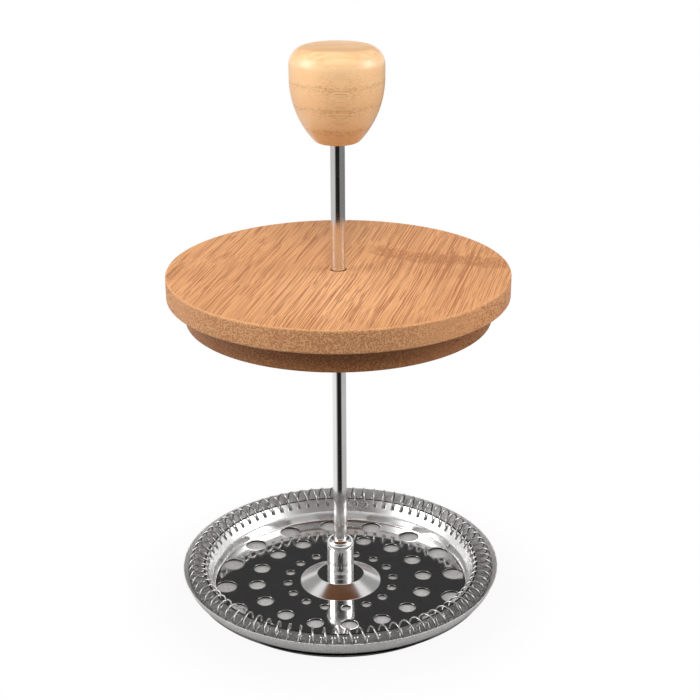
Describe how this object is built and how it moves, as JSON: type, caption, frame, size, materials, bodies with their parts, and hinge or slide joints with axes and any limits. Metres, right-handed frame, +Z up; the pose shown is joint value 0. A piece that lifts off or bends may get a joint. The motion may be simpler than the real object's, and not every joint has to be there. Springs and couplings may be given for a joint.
{
  "type": "french press plunger",
  "caption": "French press lid and plunger: round bamboo lid that slides on a polished rod with a bamboo knob, over a perforated filter dish edged with a coil spring and a mesh skirt.",
  "frame": {"origin": "centre of the part's footprint, at the underside of the cross plate, on the axis of the rod", "axes": "+Z up along the rod, towards the knob; +X to the right and -Y towards the viewer of the picture"},
  "size_m": [0.104, 0.104, 0.1762],
  "materials": {
    "lid_bamboo": "satin oiled bamboo with fine dark fibres",
    "knob_bamboo": "lacquered laminated bamboo",
    "polished_steel": "polished",
    "mirror_steel": "mirror-polished sheet",
    "spring_wire": "bright drawn wire",
    "mesh_steel": "fine woven wire mesh",
    "nut_steel": "turned",
    "brass": "turned"
  },
  "bodies": {
    "plunger": {"plunger_rod": "polished_steel", "rod_collar": "polished_steel", "collar_washer": "polished_steel", "knob": "knob_bamboo", "knob_insert": "brass", "spiral_plate": "mirror_steel", "coil_spring": "spring_wire", "filter_mesh": "mesh_steel", "cross_plate": "mirror_steel", "hub_nut": "nut_steel"},
    "lid": {"lid_disc": "lid_bamboo", "lid_plug": "lid_bamboo"}
  },
  "joints": [
    {"name": "lid_slide", "type": "slide", "parent": "plunger", "child": "lid", "axis": [0, 0, 1], "range_m": [-0.0765, 0.0389]}
  ]
}
